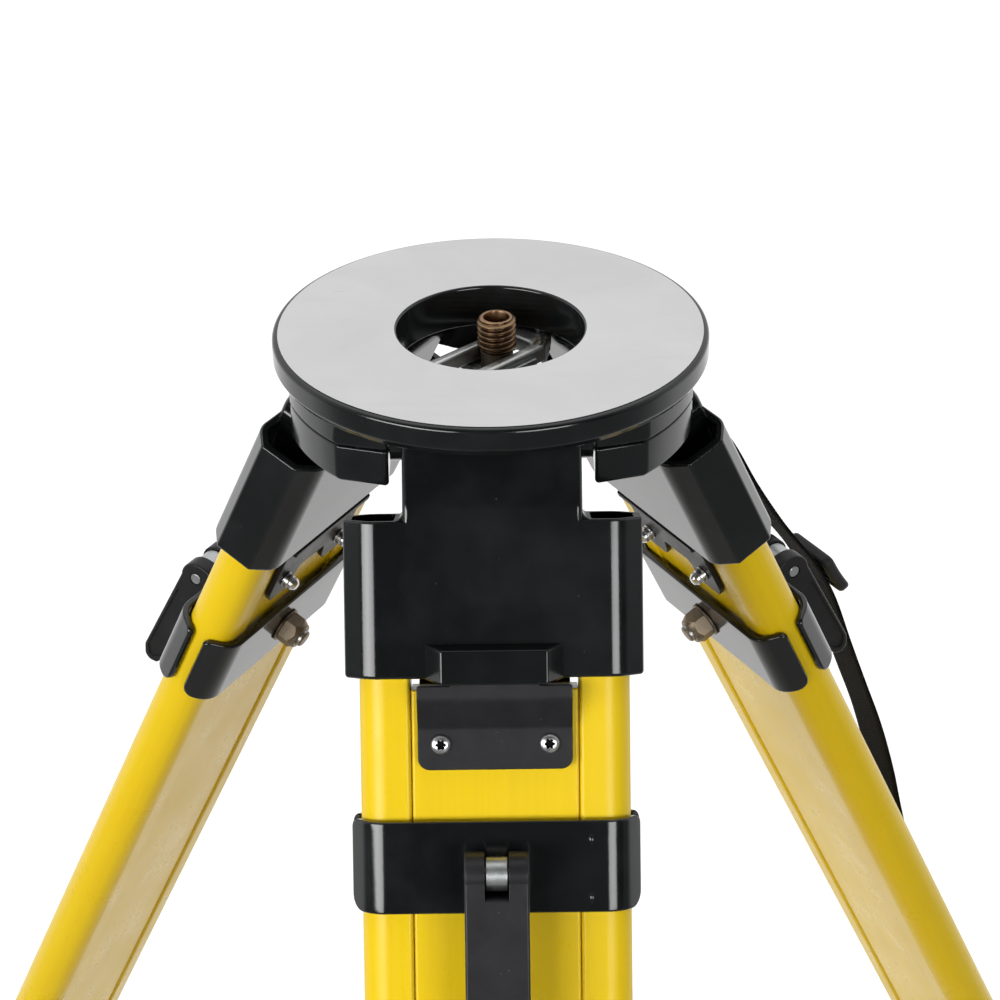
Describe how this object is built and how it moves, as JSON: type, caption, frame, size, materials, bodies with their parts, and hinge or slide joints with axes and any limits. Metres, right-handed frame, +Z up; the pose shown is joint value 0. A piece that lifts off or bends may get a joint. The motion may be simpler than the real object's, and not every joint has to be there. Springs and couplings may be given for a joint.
{
  "type": "surveying tripod",
  "caption": "Heavy-duty surveying tripod with a round flat head, a centring screw on a swinging arm, hinged telescoping legs with cam clamps, pointed feet and a carrying strap.",
  "frame": {"origin": "centre of the footprint box at the height of the foot points, on the ground", "axes": "+Z up, along the head's axis; one leg (front) leans towards -Y, the others towards +X+Y (right) and -X+Y (left)"},
  "size_m": [0.898, 0.7834, 0.9679],
  "materials": {
    "black_casting": "gloss",
    "black_plate": "satin",
    "black_lever": "matte",
    "yellow_fibreglass": "gloss",
    "machined_aluminium": "satin",
    "bare_cast_aluminium": "satin",
    "foot_casting": "gloss",
    "bronze_screw": "satin",
    "dark_bronze": "satin",
    "zinc_steel": "satin",
    "bright_screws": "polished",
    "black_plastic": "matte",
    "black_webbing": "matte"
  },
  "bodies": {
    "head": {"head_casting": "black_casting", "bearing_cap_rear": "black_casting", "bearing_cap_left": "black_casting", "bearing_cap_right": "black_casting", "arm_pivot_pin": "zinc_steel"},
    "front_upper_leg": {"front_yoke": "black_casting", "front_hinge_pin": "zinc_steel", "front_rail_left": "yellow_fibreglass", "front_rail_right": "yellow_fibreglass", "front_lower_collar": "black_casting"},
    "front_lower_leg": {"front_sliding_leg": "yellow_fibreglass", "front_foot": "foot_casting", "front_stop_plate_outer": "black_plate", "front_stop_plate_inner": "black_plate", "front_stop_screw_left": "bright_screws", "front_stop_screw_right": "bright_screws", "front_clamp_plate_outer": "black_casting", "front_clamp_plate_inner": "black_casting", "front_clamp_bolt": "zinc_steel", "front_clamp_nut": "dark_bronze"},
    "front_lever": {"front_cam_lever": "black_lever"},
    "right_upper_leg": {"right_yoke": "black_casting", "right_hinge_pin": "zinc_steel", "right_rail_left": "yellow_fibreglass", "right_rail_right": "yellow_fibreglass", "right_lower_collar": "black_casting", "carry_strap": "black_webbing", "strap_buckle": "black_plastic"},
    "right_lower_leg": {"right_sliding_leg": "yellow_fibreglass", "right_foot": "foot_casting", "right_stop_plate_outer": "black_plate", "right_stop_plate_inner": "black_plate", "right_stop_screw_left": "bright_screws", "right_stop_screw_right": "bright_screws", "right_clamp_plate_outer": "black_casting", "right_clamp_plate_inner": "black_casting", "right_clamp_bolt": "zinc_steel", "right_clamp_nut": "dark_bronze"},
    "right_lever": {"right_cam_lever": "black_lever"},
    "left_upper_leg": {"left_yoke": "black_casting", "left_hinge_pin": "zinc_steel", "left_rail_left": "yellow_fibreglass", "left_rail_right": "yellow_fibreglass", "left_lower_collar": "black_casting"},
    "left_lower_leg": {"left_sliding_leg": "yellow_fibreglass", "left_foot": "foot_casting", "left_stop_plate_outer": "black_plate", "left_stop_plate_inner": "black_plate", "left_stop_screw_left": "bright_screws", "left_stop_screw_right": "bright_screws", "left_clamp_plate_outer": "black_casting", "left_clamp_plate_inner": "black_casting", "left_clamp_bolt": "zinc_steel", "left_clamp_nut": "dark_bronze"},
    "left_lever": {"left_cam_lever": "black_lever"},
    "arm": {"centring_arm": "bare_cast_aluminium"},
    "slider": {"screw_slider": "zinc_steel"},
    "bush": {"screw_bush": "dark_bronze"},
    "screw": {"centring_screw": "bronze_screw", "screw_knob": "black_plastic"}
  },
  "joints": [
    {"name": "front_leg_spread", "type": "hinge", "parent": "head", "child": "front_upper_leg", "pos_m": [0, 0.06816, 0.94611], "axis": [-1, 0, 0], "range_deg": [-25.85, 14.15]},
    {"name": "front_leg_extension", "type": "slide", "parent": "front_upper_leg", "child": "front_lower_leg", "axis": [0, -0.436, -0.8999], "range_m": [0, 0.65]},
    {"name": "front_clamp_lever_turn", "type": "hinge", "parent": "front_lower_leg", "child": "front_lever", "pos_m": [0, -0.02724, 0.81112], "axis": [-1, 0, 0], "range_deg": [0, 115]},
    {"name": "right_leg_spread", "type": "hinge", "parent": "head", "child": "right_upper_leg", "pos_m": [0.04524, 0.14652, 0.94611], "axis": [0.5, -0.866, 0], "range_deg": [-25.85, 14.15]},
    {"name": "right_leg_extension", "type": "slide", "parent": "right_upper_leg", "child": "right_lower_leg", "axis": [0.3776, 0.218, -0.8999], "range_m": [0, 0.65]},
    {"name": "right_clamp_lever_turn", "type": "hinge", "parent": "right_lower_leg", "child": "right_lever", "pos_m": [0.12626, 0.19329, 0.81495], "axis": [0.5, -0.866, 0], "range_deg": [0, 115]},
    {"name": "left_leg_spread", "type": "hinge", "parent": "head", "child": "left_upper_leg", "pos_m": [-0.04524, 0.14652, 0.94611], "axis": [0.5, 0.866, 0], "range_deg": [-25.85, 14.15]},
    {"name": "left_leg_extension", "type": "slide", "parent": "left_upper_leg", "child": "left_lower_leg", "axis": [-0.3776, 0.218, -0.8999], "range_m": [0, 0.65]},
    {"name": "left_clamp_lever_turn", "type": "hinge", "parent": "left_lower_leg", "child": "left_lever", "pos_m": [-0.12626, 0.19329, 0.81495], "axis": [0.5, 0.866, 0], "range_deg": [0, 115]},
    {"name": "centring_arm_swing", "type": "hinge", "parent": "head", "child": "arm", "pos_m": [0.0196, 0.1557, 0.94536], "axis": [0, 0, 1], "range_deg": [-4, 34]},
    {"name": "centring_screw_travel", "type": "slide", "parent": "arm", "child": "slider", "axis": [-0.7193, -0.6947, 0], "range_m": [-0.006, 0.032]},
    {"name": "centring_screw_lift", "type": "slide", "parent": "slider", "child": "bush", "axis": [0, 0, 1], "range_m": [0, 0.0138]},
    {"name": "centring_screw_turn", "type": "hinge", "parent": "bush", "child": "screw", "pos_m": [0.00234, 0.13903, 0.93786], "axis": [0, 0, 1], "continuous": true}
  ]
}
